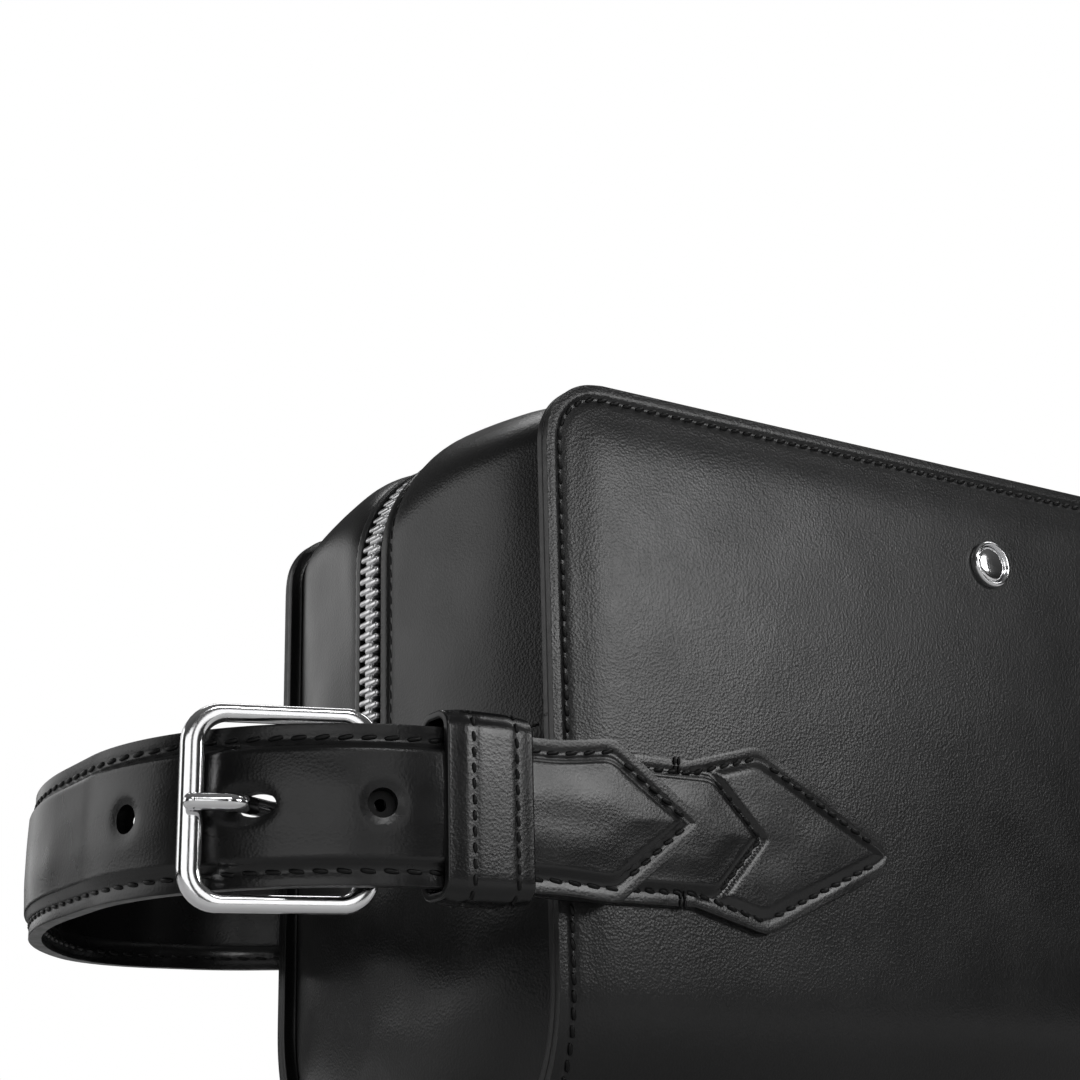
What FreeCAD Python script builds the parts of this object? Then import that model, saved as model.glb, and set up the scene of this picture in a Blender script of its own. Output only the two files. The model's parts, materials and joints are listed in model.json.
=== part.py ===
import FreeCAD, Part
import math
import os

# Leather wash bag with a zipped mouth and a buckled side handle, in millimetres.
# Origin: middle of the flat underside. +X along the front, -Y the front face, +Z up.

Vec = FreeCAD.Vector

# body
width = 210.0             # across the front, edge to edge
depth = 104.0             # front panel face to back panel face
height = 136.0            # top edge of the panels
base_radius = 30.0        # the front turns under into the base
panel_radius = 12.0       # top corners of the panels
leather = 1.5             # one layer of leather
lining = 0.6
seam_z = 78.0             # the mouth opens above this line
seam_gap = 0.2
flange_width = 8.0        # gusset edge turned out under the panel
valley = 2.7              # the gusset leaves the flange this far inside the edge
bulge = 9.2               # how far the gusset swells between the panels, at the ends
bulge_top = 6.0           # the same along the top
zip_radius = 28.0         # corner radius of the gusset beside the zip

# zip
tooth_pitch = 2.18
tooth_thick = 0.95
tooth_inner = 1.1         # a tooth reaches this far past the middle
tooth_outer = 3.3
tooth_rise = (0.5, 3.1)   # depth of the teeth below the leather's outer face
tape_half = 13.0
leather_edge = 4.2        # half the gap between the turned leather edges
slider_reach = 13.0       # the front teeth are parted under the sliders

# handle
strap_width = 25.0
strap_z = 56.3            # height of the strap's middle
strap_thick = 2.3
tab_thick = 1.2
chape_thick = 1.8
front_turn = 45.0         # radius of the strap's front bend
side_turn = 88.0          # the gentle bend along the end of the loop
side_angle = 39.6
back_turn = 31.0
swing_turn = 30.0         # behind, the strap swings back in towards the panel
swing_angle = 25.0
back_run = 8.0
turn_x = -125.0           # the front bend starts here
wire = 1.8                # radius of the buckle wire
buckle_half = 14.7        # middle of the buckle's rails from the strap's middle
heel_side = 38.5          # heel bar from the centre of the front bend
bar_side = 48.6           # outer bar from the centre of the front bend
heel_angle = 250.2        # degrees round the front bend
bar_angle = 216.0
hole_radius = 2.2
tongue_radius = 1.35

half_w = width / 2
half_d = depth / 2
strap_low = strap_z - strap_width / 2
strap_high = strap_z + strap_width / 2
tab_face = -half_d - tab_thick
chape_face = tab_face - chape_thick
strap_inner = chape_face - 0.1
strap_face = strap_inner - strap_thick
turn_y = strap_face + front_turn

os.makedirs("parts", exist_ok=True)


def save(shape, node):
    shape.exportStep("parts/" + node + ".step")
    print(node, "valid", shape.isValid(), "solids", len(shape.Solids), "volume", round(shape.Volume, 1))


def block(x0, x1, y0, y1, z0, z1):
    return Part.makeBox(x1 - x0, y1 - y0, z1 - z0, Vec(x0, y0, z0))


def arc(start, middle, end):
    return Part.Arc(start, middle, end).toShape()


def prism(points, direction):
    wire_shape = Part.makePolygon([Vec(*p) for p in points + points[:1]])
    return Part.Face(wire_shape).extrude(Vec(*direction))


def mirrored_x(shape):
    return shape.mirror(Vec(0, 0, 0), Vec(1, 0, 0))


def mirrored_y(shape):
    return shape.mirror(Vec(0, 0, 0), Vec(0, 1, 0))


def turned(shape, point, axis, angle):
    copy = shape.copy()
    copy.rotate(Vec(*point), Vec(*axis), angle)
    return copy


# outlines

def swell(y, power):
    return 1 - (abs(y) / (half_d - 2 * leather)) ** power


def gusset_size(y):
    # half width, top and corner radius of the gusset's outer face at depth y
    side = half_w - valley + bulge * swell(y, 2.3)
    top = height - valley + bulge_top * swell(y, 2.3)
    radius = panel_radius - valley + (zip_radius - panel_radius + valley) * swell(y, 0.8)
    return side, top, radius


def side_at_edge():
    return half_w - valley


def arch_edges(y, side, top, radius, foot):
    # left foot, up, over the top and down to the right foot
    k = radius * (1 - math.sqrt(0.5))
    a = Vec(-side, y, foot)
    b = Vec(-side, y, top - radius)
    c = Vec(-side + radius, y, top)
    d = Vec(side - radius, y, top)
    e = Vec(side, y, top - radius)
    f = Vec(side, y, foot)
    return [Part.makeLine(a, b), arc(b, Vec(-side + k, y, top - k), c), Part.makeLine(c, d),
            arc(d, Vec(side - k, y, top - k), e), Part.makeLine(e, f)]


def arch_face(y, side, top, radius, foot):
    close = Part.makeLine(Vec(side, y, foot), Vec(-side, y, foot))
    return Part.Face(Part.Wire(arch_edges(y, side, top, radius, foot) + [close]))


def arch_shell(y_list, outer, inner, foot):
    # a strip of the gusset between two depths, with its thickness from outer to inner
    wires = []
    for y in y_list:
        side, top, radius = gusset_size(y)
        edges = arch_edges(y, side - outer, top - outer, radius - outer, foot)
        back = arch_edges(y, side - inner, top - inner, radius - inner, foot)
        right = Part.makeLine(Vec(side - outer, y, foot), Vec(side - inner, y, foot))
        left = Part.makeLine(Vec(-side + inner, y, foot), Vec(-side + outer, y, foot))
        wires.append(Part.Wire(edges + [right] + back[::-1] + [left]))
    return Part.makeLoft(wires, True, False)


def hull_edges(x, inset, lift, radius, top):
    # the U of the body's section at one x, drawn inset from the outer faces
    side = half_d - inset
    k = radius * (1 - math.sqrt(0.5))
    a = Vec(x, -side, top)
    b = Vec(x, -side, lift + radius)
    c = Vec(x, -side + radius, lift)
    d = Vec(x, side - radius, lift)
    e = Vec(x, side, lift + radius)
    f = Vec(x, side, top)
    return [Part.makeLine(a, b), arc(b, Vec(x, -side + k, lift + k), c), Part.makeLine(c, d),
            arc(d, Vec(x, side - k, lift + k), e), Part.makeLine(e, f), Part.makeLine(f, a)]


def hull_block(x0, x1, inset, top):
    edges = hull_edges(x0, inset, inset, base_radius - inset, top)
    return Part.Face(Part.Wire(edges)).extrude(Vec(x1 - x0, 0, 0))


def hull_shell(x0, x1, outer, inner):
    return hull_block(x0, x1, outer, seam_z).cut(hull_block(x0, x1, inner, seam_z + 1))


# body

def make_panel():
    face = arch_face(-half_d, half_w, height, panel_radius, seam_z + seam_gap)
    return face.extrude(Vec(0, leather, 0))


def make_gusset():
    foot = seam_z + seam_gap
    start = -half_d + leather
    full = arch_face(start, half_w, height, panel_radius, foot).extrude(Vec(0, leather, 0))
    inner_radius = panel_radius - flange_width + 1
    window = arch_face(start, half_w - flange_width, height - flange_width, inner_radius, foot - 1)
    flange = full.cut(window.extrude(Vec(0, leather, 0)))
    first = start + leather
    shell = arch_shell([first, -40.0, -22.0, -leather_edge], 0, leather, foot)
    return flange.fuse(shell).removeSplitter()


def make_flap_lining():
    foot = seam_z + seam_gap
    start = -half_d + leather
    side = half_w - flange_width - 0.2
    plate = arch_face(start, side, height - flange_width - 0.2, 4.8, foot).extrude(Vec(0, lining, 0))
    skin = leather + 0.1
    strip = arch_shell([start + leather + 0.1, -40.0, -22.0, -tape_half - 0.2], skin, skin + lining, foot)
    return Part.makeCompound([plate, strip])


def make_tape():
    skin = leather + 0.1
    return arch_shell([-tape_half, -8.0, -tooth_outer], skin, skin + lining, seam_z + seam_gap)


def zip_point(distance):
    # place and inward normal on the zip's line, from the left foot round to the right
    side, top, radius = gusset_size(0)
    rise = top - radius - seam_z
    bend = radius * math.pi / 2
    run = 2 * (side - radius)
    if distance < rise:
        return Vec(-side, 0, seam_z + distance), Vec(1, 0, 0)
    distance -= rise
    if distance < bend:
        angle = distance / radius
        normal = Vec(math.cos(angle), 0, -math.sin(angle))
        return Vec(-side + radius, 0, top - radius) - normal * radius, normal
    distance -= bend
    if distance < run:
        return Vec(-side + radius + distance, 0, top), Vec(0, 0, -1)
    distance -= run
    if distance < bend:
        angle = distance / radius
        normal = Vec(-math.sin(angle), 0, -math.cos(angle))
        return Vec(side - radius, 0, top - radius) - normal * radius, normal
    distance -= bend
    return Vec(side, 0, top - radius - distance), Vec(-1, 0, 0)


def make_teeth(front):
    side, top, radius = gusset_size(0)
    length = 2 * (top - radius - seam_z) + math.pi * radius + 2 * (side - radius)
    first = 3.5
    count = int((length - 2 * first) / (tooth_pitch / 2))
    y0 = -tooth_outer if front else -tooth_inner
    deep = tooth_rise[1] - tooth_rise[0]
    teeth = []
    for i in range(0 if front else 1, count, 2):
        place, normal = zip_point(first + i * tooth_pitch / 2)
        if front and abs(place.x) < slider_reach:
            continue
        tooth = block(-tooth_thick / 2, tooth_thick / 2, y0, y0 + tooth_inner + tooth_outer, 0, deep)
        turn = FreeCAD.Rotation(Vec(0, 0, 1), normal)
        tooth.Placement = FreeCAD.Placement(place + normal * tooth_rise[0], turn)
        teeth.append(tooth)
    return Part.makeCompound(teeth)


def make_end_gusset():
    # left end: it swells out from the flange and is open at the mouth line
    stations = ((0.0, 27.0), (9.0, 23.0), (27.0, 14.0), (44.8, 3.0))
    shells = []
    for shift in (0.0, leather):
        wires = []
        for inset, radius in stations:
            side, top, corner = gusset_size(half_d - 2 * leather - inset)
            lift = 2 * leather + 0.45 * inset
            edges = hull_edges(-side + shift, 2 * leather + inset, lift, radius, seam_z)
            wires.append(Part.Wire(edges))
        shells.append(Part.makeLoft(wires, True, False))
    skin = shells[0].cut(shells[1])
    flange = hull_shell(-half_w, -half_w + flange_width, leather, 2 * leather)
    rim = hull_shell(-side_at_edge() - 0.5, -side_at_edge() + leather, 2 * leather, 3 * leather)
    return skin.fuse(rim).fuse(flange).removeSplitter()


def make_base_lining():
    inset = 2 * leather + 0.05
    end = half_w - flange_width + 1.0
    top = seam_z - 0.4
    outer = hull_block(-end, end, inset, top)
    hollow = hull_block(-end + lining, end - lining, inset + lining, seam_z + 1)
    return outer.cut(hollow)


def make_zip_stop():
    side, top, radius = gusset_size(0)
    return block(-side + 0.2, -side + leather, -2.6, 2.6, seam_z, seam_z + 1.4)


# handle

def ribbon(start, heading, moves, thick, z0, z1):
    # a strap seen from above: its outer face follows the moves, its thickness lies to the right
    place = Vec(start[0], start[1], z0)
    outer = []
    inner = []

    def normal(angle):
        return Vec(math.sin(math.radians(angle)), -math.cos(math.radians(angle)), 0)

    first = place
    first_in = place + normal(heading) * thick
    for kind, size, angle in moves:
        if kind == "line":
            step = Vec(math.cos(math.radians(heading)), math.sin(math.radians(heading)), 0) * size
            shift = normal(heading) * thick
            outer.append(Part.makeLine(place, place + step))
            inner.append(Part.makeLine(place + shift, place + step + shift))
            place = place + step
            continue
        centre = place + normal(heading) * size
        turn = angle if size > 0 else -angle
        ends = [heading, heading - turn / 2, heading - turn]
        outer.append(arc(*[centre - normal(h) * size for h in ends]))
        inner.append(arc(*[centre - normal(h) * (size - thick) for h in ends]))
        heading -= turn
        place = centre - normal(heading) * size
    last_in = place + normal(heading) * thick
    edges = outer + [Part.makeLine(place, last_in)] + inner[::-1] + [Part.makeLine(first_in, first)]
    return Part.Face(Part.Wire(Part.sortEdges(edges)[0])).extrude(Vec(0, 0, z1 - z0))


def round_the_bend(radius, angle, z=0.0):
    a = math.radians(angle)
    return Vec(turn_x + radius * math.cos(a), turn_y + radius * math.sin(a), z)


def end_points(tip, shoulder, y0, y1):
    # the two wedges that leave a pointed end on a strap
    far = 12.0
    cuts = []
    for z_edge in (strap_low - 1, strap_high + 1):
        outline = [(shoulder, y0, z_edge), (tip, y0, strap_z), (tip + far, y0, strap_z), (tip + far, y0, z_edge)]
        cuts.append(prism(outline, (0, y1 - y0, 0)))
    return cuts


def arrow(y0, y1, left):
    # flat tab with a broad arrow head, stitched to the panel
    head = strap_width / 2 + 4.0
    neck = strap_width / 2
    tip = -34.6
    broad = tip - 28.8
    narrow = broad - 15.0
    outline = [(tip, y0, strap_z - 1.0), (broad, y0, strap_z + head), (narrow, y0, strap_z + neck),
               (left, y0, strap_z + neck), (left, y0, strap_z - neck),
               (narrow, y0, strap_z - neck), (broad, y0, strap_z - head)]
    return prism(outline, (0, y1 - y0, 0))


def make_handle():
    tip = -82.0
    side_run = -turn_y
    moves = [("line", tip - turn_x, 0), ("arc", front_turn, 90.0), ("line", side_run, 0)]
    moves += [("arc", side_turn, side_angle), ("arc", back_turn, 90.0 - side_angle), ("line", back_run, 0)]
    # behind, it swings back in to lie along the tab on the back panel
    swing = math.radians(swing_angle)
    reach = side_turn * math.sin(math.radians(side_angle)) + back_turn * (1 - math.sin(math.radians(side_angle)))
    drop = reach - half_d - tab_thick - strap_thick - (back_turn + swing_turn) * (1 - math.cos(swing))
    run_in = drop / math.sin(swing)
    moves += [("arc", back_turn, swing_angle), ("line", run_in, 0), ("arc", -swing_turn, swing_angle)]
    moves += [("line", 14.0, 0)]
    strap = ribbon((tip, strap_face), 180.0, moves, strap_thick, strap_low, strap_high)
    for cut in end_points(tip, tip - 15.5, strap_face - 1, strap_inner + 1):
        strap = strap.cut(cut)
    for angle in (252.0, 197.0):
        axis = round_the_bend(1.0, angle) - round_the_bend(0.0, angle)
        hole = Part.makeCylinder(hole_radius, 8.0, round_the_bend(front_turn - 5, angle, strap_z), axis)
        strap = strap.cut(hole)
    for angle in (0.0, 2.0, 4.0, 6.0):
        slot = turned(tongue_shank(0.45), heel_point(), (0, 0, 1), angle)
        strap = strap.cut(slot)
    return strap


def make_back_tab():
    return arrow(half_d, half_d + tab_thick, -100.0)


def heel_point():
    return round_the_bend(heel_side, heel_angle, strap_z)


def bar_point():
    return round_the_bend(bar_side, bar_angle, strap_z)


def tongue_points():
    # along under the strap, steeply out through it, then flat over the outer bar
    under = round_the_bend(heel_side + 0.9, 229.0, strap_z)
    out = round_the_bend(front_turn + 3.6, 225.0, strap_z)
    over = round_the_bend(bar_side + wire + 1.4, bar_angle + 2.4, strap_z)
    return [heel_point(), under, out, over]


def tongue_shank(grow):
    points = tongue_points()
    shank = Part.makeSphere(tongue_radius + grow, points[-1])
    for start, end in zip(points, points[1:]):
        run = end - start
        shank = shank.fuse(Part.makeCylinder(tongue_radius + grow, run.Length, start, run))
        shank = shank.fuse(Part.makeSphere(tongue_radius + grow, start))
    return shank


def make_tongue():
    heel = heel_point()
    knuckle = Part.makeCylinder(3.4, 4.6, Vec(heel.x, heel.y, strap_z - 2.3))
    bore = Part.makeCylinder(wire + 0.08, 8.0, Vec(heel.x, heel.y, strap_z - 4.0))
    return knuckle.fuse(tongue_shank(0)).cut(bore)


def make_buckle():
    # closed frame of round wire, its four corners turned on a small radius
    heel = heel_point()
    bar = bar_point()
    along = (bar - heel).normalize()
    span = (bar - heel).Length
    corner = 4.0
    frame = Part.makeCylinder(wire, 2 * (buckle_half - corner), heel - Vec(0, 0, buckle_half - corner))
    outer_bar = Part.makeCylinder(wire, 2 * (buckle_half - corner), bar - Vec(0, 0, buckle_half - corner))
    pieces = [outer_bar]
    for side in (-1, 1):
        rail_start = heel + along * corner + Vec(0, 0, side * buckle_half)
        pieces.append(Part.makeCylinder(wire, span - 2 * corner, rail_start, along))
        for end, sign in ((heel, 1), (bar, -1)):
            centre = end + along * (corner * sign) + Vec(0, 0, side * (buckle_half - corner))
            start = centre - along * (corner * sign)
            finish = centre + Vec(0, 0, side * corner)
            middle = centre + (finish - centre + start - centre).normalize() * corner
            path = Part.Wire(arc(start, middle, finish))
            section = Part.Wire(Part.makeCircle(wire, start, Vec(0, 0, 1)))
            pieces.append(path.makePipeShell([section], True, True))
    for piece in pieces:
        frame = frame.fuse(piece)
    return frame


def make_chape():
    # upper layer: from its pointed end to the heel bar and round it
    tip = -65.0
    face = chape_face
    turn = front_turn - strap_thick - 0.1
    moves = [("line", tip - turn_x, 0), ("arc", turn, 270.0 - heel_angle), ("arc", turn - heel_side, 190.0), ("line", 6.5, 0)]
    strap = ribbon((tip, face), 180.0, moves, chape_thick, strap_low, strap_high)
    for cut in end_points(tip, tip - 11.0, face - 1, tab_face + 1):
        strap = strap.cut(cut)
    heel = heel_point()
    narrow = 9.6
    for z0 in (strap_z - 20.0, strap_z + narrow):
        strap = strap.cut(block(-150, heel.x + 7.0, -60, -35, z0, z0 + 20.0 - narrow))
    notch = block(-150, heel.x + 5.5, -60, -35, strap_z - 3.0, strap_z + 3.0)
    return strap.cut(notch)


def make_tab():
    # lower layer: arrow head on the panel, neck out past the edge towards the heel bar
    return arrow(tab_face, -half_d, -127.0)


def make_keeper():
    x0 = -129.5
    x1 = -113.6
    wall = 1.4
    front = strap_face - 0.35
    back = -half_d + 0.35
    low = strap_low - 0.4
    high = strap_high + 0.4
    outer = block(x0, x1, front - wall, back + wall, low - wall, high + wall)
    return outer.cut(block(x0 - 1, x1 + 1, front, back, low, high))


# sliders

def slider_levels():
    side, top, radius = gusset_size(0)
    return top + 0.25, top - tooth_rise[1] - 0.25


def make_slider():
    # left slider: two plates joined by the post that parts the teeth, and a bridge for the pull
    upper, lower = slider_levels()
    plates = [block(-12.3, -0.3, -4.9, 4.9, upper, upper + 1.35),
              block(-12.3, -0.3, -4.9, 4.9, lower - 1.25, lower),
              block(-4.0, -1.0, -3.0, -1.35, lower - 0.5, upper + 0.5)]
    bridge = block(-10.4, -3.6, -1.1, 1.1, upper + 1.0, upper + 4.4)
    eye = Part.makeCylinder(1.35, 6.0, Vec(-7.0, -3.0, upper + 2.8), Vec(0, 1, 0))
    bridge = bridge.cut(eye)
    body = bridge
    for plate in plates:
        body = body.fuse(plate)
    return body


def make_pull():
    # left pull, lying flat and pointing outwards
    upper, lower = slider_levels()
    axis_z = upper + 2.8
    bar = Part.makeCylinder(0.85, 6.8, Vec(-7.0, -3.4, axis_z), Vec(0, 1, 0))
    arms = [block(-12.0, -6.2, y0, y0 + 1.6, axis_z - 0.85, axis_z + 0.85) for y0 in (-3.4, 1.8)]
    plate = block(-33.0, -11.5, -4.0, 4.0, axis_z - 0.85, axis_z + 0.85)
    plate = plate.cut(Part.makeCylinder(1.6, 4.0, Vec(-29.5, 0, axis_z - 2)))
    for piece in arms + [plate]:
        bar = bar.fuse(piece)
    return bar


# emblem

def make_emblem():
    # plain round stud near the top middle of the front, with its washer inside
    centre_z = height - 20.0
    out = Vec(0, -1, 0)
    face = Vec(0, -half_d, centre_z)
    disc = Part.makeCylinder(3.9, 1.5, face, out)
    rim = Part.makeCylinder(4.7, 1.9, face, out).cut(Part.makeCylinder(3.9, 3.0, face, out))
    washer = Part.makeCylinder(3.4, 0.5, face + Vec(0, leather + lining, 0), Vec(0, 1, 0))
    return disc, rim, washer


save(hull_shell(-half_w, half_w, 0, leather), "base_wrap")
end_gusset = make_end_gusset()
save(end_gusset, "end_gusset_left")
save(mirrored_x(end_gusset), "end_gusset_right")
save(make_base_lining(), "base_lining")
save(block(-95, 95, -21, 21, leather + 0.1, 2 * leather - 0.1), "base_board")

for maker, name in ((make_panel, "panel"), (make_gusset, "gusset"), (make_flap_lining, "lining")):
    shape = maker()
    save(shape, "front_" + name)
    save(mirrored_y(shape), "back_" + name)
tape = make_tape()
save(tape, "zip_tape_front")
save(mirrored_y(tape), "zip_tape_back")
save(make_teeth(True), "zip_teeth_front")
save(make_teeth(False), "zip_teeth_back")
zip_stop = make_zip_stop()
save(zip_stop, "zip_stop_left")
save(mirrored_x(zip_stop), "zip_stop_right")

slider = make_slider()
pull = make_pull()
save(slider, "slider_left")
save(mirrored_x(slider), "slider_right")
save(pull, "pull_left")
save(mirrored_x(pull), "pull_right")

disc, rim, washer = make_emblem()
save(disc, "stud_disc")
save(rim, "stud_rim")
save(washer, "stud_washer")

save(make_tab(), "chape_tab")
save(make_chape(), "chape_strap")
save(make_handle(), "handle_strap")
save(make_back_tab(), "handle_tab")
save(make_keeper(), "keeper_loop")
save(make_buckle(), "buckle_frame")
save(make_tongue(), "buckle_tongue")
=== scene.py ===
import json
from math import atan, copysign, cos, exp, hypot, pi, radians, sin, sqrt
import random
import bpy
import bmesh
from mathutils import Matrix, Vector, noise


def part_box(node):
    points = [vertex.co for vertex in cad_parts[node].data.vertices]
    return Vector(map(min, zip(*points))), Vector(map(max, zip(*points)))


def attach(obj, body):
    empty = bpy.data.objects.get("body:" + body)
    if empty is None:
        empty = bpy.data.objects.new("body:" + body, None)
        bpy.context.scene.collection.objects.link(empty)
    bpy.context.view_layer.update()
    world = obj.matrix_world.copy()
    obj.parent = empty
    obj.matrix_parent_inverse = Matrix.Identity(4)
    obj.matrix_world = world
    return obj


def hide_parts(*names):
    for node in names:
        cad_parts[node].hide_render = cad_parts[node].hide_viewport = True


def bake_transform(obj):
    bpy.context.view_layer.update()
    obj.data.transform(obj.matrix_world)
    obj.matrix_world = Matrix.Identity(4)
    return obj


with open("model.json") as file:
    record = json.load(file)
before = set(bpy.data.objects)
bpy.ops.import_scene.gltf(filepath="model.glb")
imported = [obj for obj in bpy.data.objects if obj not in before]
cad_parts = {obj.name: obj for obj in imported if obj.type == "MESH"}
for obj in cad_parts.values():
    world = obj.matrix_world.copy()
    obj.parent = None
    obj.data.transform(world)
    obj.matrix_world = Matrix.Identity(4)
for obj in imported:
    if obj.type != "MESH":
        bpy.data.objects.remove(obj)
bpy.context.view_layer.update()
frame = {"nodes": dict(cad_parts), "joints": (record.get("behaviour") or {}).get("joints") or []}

random.seed(7)
mm = 0.001
up = Vector((0, 0, 1))


def newObject(name, data):
    thing = bpy.data.objects.new(name, data)
    bpy.context.scene.collection.objects.link(thing)
    return thing


def boxMm(node):
    low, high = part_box(node)
    return low / mm, high / mm


panelLow, panelHigh = boxMm("front_panel")
wrapLow, wrapHigh = boxMm("base_wrap")
strapLow, strapHigh = boxMm("handle_strap")
keeperLow, keeperHigh = boxMm("keeper_loop")
halfWidth = panelHigh.x
halfDepth = -panelLow.y
topZ = panelHigh.z
leather = panelHigh.y - panelLow.y
mouthZ = wrapHigh.z
joints = {j["name"]: j for j in frame["joints"]}
heel = Vector(joints["buckle_tilt"]["pos_m"]) / mm

# the bag's shape in millimetres
bag = {
    "baseRadius": 30.0,     # front turns under into the base
    "panelRadius": 12.0,    # top corners of the panels
    "valley": 2.7,          # gusset leaves the edge this far inside
    "bulge": 9.2,           # swell of the ends
    "bulgeTop": 6.0,        # swell of the top
    "swellPower": 2.3,      # how early the swell flattens out towards the zip
    "zipRadius": 28.0,      # corner beside the zip
    "leatherEdge": 4.2,     # half the gap over the zip
    "crown": 0.7,           # how far the panels stand proud inside their stitching
    "stitchIn": 2.8,        # stitch line from the edge
    "bendLow": 73.0,        # the leather bends between these heights as the mouth opens
    "bendHigh": 104.0,
}

view = {
    "place": (-0.2802, -0.3180, 0.0012),
    "yaw": 33.1,            # degrees right of +Y
    "pitch": 18.06,
    "roll": -1.36,
    "lens": 65.23,
}


def makeCamera():
    yaw, pitch, roll = (radians(view[k]) for k in ("yaw", "pitch", "roll"))
    ahead = Vector((sin(yaw) * cos(pitch), cos(yaw) * cos(pitch), sin(pitch)))
    right = Vector((cos(yaw), -sin(yaw), 0))
    above = right.cross(ahead)
    turnedRight = right * cos(roll) + above * sin(roll)
    turnedUp = -right * sin(roll) + above * cos(roll)
    data = bpy.data.cameras.new("camera")
    data.lens = view["lens"]
    data.sensor_width = 36
    data.clip_start = 0.01
    camera = newObject("camera", data)
    turn = Matrix((turnedRight, turnedUp, -ahead)).transposed().to_4x4()
    camera.matrix_world = Matrix.Translation(Vector(view["place"])) @ turn
    bpy.context.scene.camera = camera


lights = {
    # name: place, aim, width, height, power
    "frontSoftbox": ((0.45, -0.92, 0.40), (-0.05, -0.05, 0.09), 0.34, 0.24, 2.05),
    "strapSoftbox": ((-0.26, -0.95, 0.72), (-0.10, -0.05, 0.06), 0.36, 0.18, 1.6),
    "leftCard": ((-0.94, -1.04, 0.24), (-0.14, -0.03, 0.06), 0.95, 0.46, 1.6),
    "buckleCard": ((-0.28, -1.20, 0.26), (-0.15, -0.04, 0.06), 0.22, 0.44, 0.34),
    "backStrip": ((-0.85, 0.58, 0.34), (-0.10, 0.0, 0.08), 0.80, 0.50, 1.5),
    "backCard": ((-0.25, 1.05, 0.38), (-0.10, 0.0, 0.08), 0.50, 0.44, 0.6),
    "overStrip": ((0.48, -0.18, 0.72), (-0.10, -0.05, 0.06), 0.16, 0.40, 0.8),
    "topStrip": ((0.10, 0.45, 0.95), (0.0, 0.0, 0.12), 0.80, 0.20, 2.0),
}


def makeLights():
    for name, (place, aim, wide, high, power) in lights.items():
        data = bpy.data.lights.new(name, "AREA")
        data.shape = "RECTANGLE"
        data.size = wide
        data.size_y = high
        data.energy = power
        lamp = newObject(name, data)
        lamp.location = place
        lamp.rotation_euler = (Vector(aim) - Vector(place)).to_track_quat("-Z", "Y").to_euler()


world = {
    "low": 0.015,           # light from level and below
    "high": 0.13,           # light from overhead
}


def addNode(tree, kind, values=None):
    node = tree.nodes.new("ShaderNode" + kind)
    for name, value in (values or {}).items():
        node.inputs[name].default_value = value
    return node


def makeWorld():
    # white behind the bag, a dim sky over it
    bpy.context.scene.view_settings.view_transform = "Standard"
    studio = bpy.data.worlds.new("studio")
    bpy.context.scene.world = studio
    studio.use_nodes = True
    tree = studio.node_tree
    background = tree.nodes["Background"]
    direction = addNode(tree, "TexCoord")
    parts = addNode(tree, "SeparateXYZ")
    tree.links.new(direction.outputs["Generated"], parts.inputs["Vector"])
    rise = addNode(tree, "MapRange", {"From Min": 0.1, "To Min": world["low"], "To Max": world["high"]})
    tree.links.new(parts.outputs["Z"], rise.inputs["Value"])
    path = addNode(tree, "LightPath")
    strength = addNode(tree, "MapRange", {"To Max": 1.0})
    tree.links.new(path.outputs["Is Camera Ray"], strength.inputs["Value"])
    tree.links.new(rise.outputs["Result"], strength.inputs["To Min"])
    tree.links.new(strength.outputs["Result"], background.inputs["Strength"])
    background.inputs["Color"].default_value = (1, 1, 1, 1)


def newMaterial(name, color, roughness, metallic=0.0):
    material = bpy.data.materials.new(name)
    material.use_nodes = True
    shader = material.node_tree.nodes["Principled BSDF"]
    shader.inputs["Base Color"].default_value = (*color, 1)
    shader.inputs["Roughness"].default_value = roughness
    shader.inputs["Metallic"].default_value = metallic
    material.diffuse_color = (*color, 1)
    return material, material.node_tree, shader


def objectPoint(tree, stretch=(1, 1, 1)):
    mapping = addNode(tree, "Mapping", {"Scale": stretch})
    tree.links.new(addNode(tree, "TexCoord").outputs["Object"], mapping.inputs["Vector"])
    return mapping.outputs["Vector"]


def noiseNode(tree, point, scale, detail=3.0, rough=0.55):
    node = addNode(tree, "TexNoise", {"Scale": scale, "Detail": detail, "Roughness": rough})
    tree.links.new(point, node.inputs["Vector"])
    return node.outputs["Fac"]


def voronoiNode(tree, point, scale):
    node = addNode(tree, "TexVoronoi", {"Scale": scale})
    tree.links.new(point, node.inputs["Vector"])
    return node.outputs["Distance"]


def spread(tree, value, low, high):
    node = addNode(tree, "MapRange", {"From Min": 0.3, "From Max": 0.7, "To Min": low, "To Max": high})
    tree.links.new(value, node.inputs["Value"])
    return node.outputs["Result"]


def cloudySheen(tree, shader, point, scale, low, high):
    tree.links.new(spread(tree, noiseNode(tree, point, scale), low, high), shader.inputs["Roughness"])


def addBump(tree, shader, height, strength, distance):
    bump = addNode(tree, "Bump", {"Strength": strength, "Distance": distance})
    tree.links.new(height, bump.inputs["Height"])
    last = shader.inputs["Normal"].links
    if last:
        tree.links.new(last[0].from_socket, bump.inputs["Normal"])
    tree.links.new(bump.outputs["Normal"], shader.inputs["Normal"])


def colorMix(tree, shader, factor, dark, light):
    mix = tree.nodes.new("ShaderNodeMix")
    mix.data_type = "RGBA"
    mix.inputs["A"].default_value = (*dark, 1)
    mix.inputs["B"].default_value = (*light, 1)
    tree.links.new(factor, mix.inputs["Factor"])
    tree.links.new(mix.outputs["Result"], shader.inputs["Base Color"])


calf = {
    "dark": (0.0040, 0.0040, 0.0042),
    "light": (0.0070, 0.0070, 0.0073),
    "roughLow": 0.28,
    "roughHigh": 0.34,
    "poreScale": 2100.0,
    "creaseScale": 420.0,
}


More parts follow.
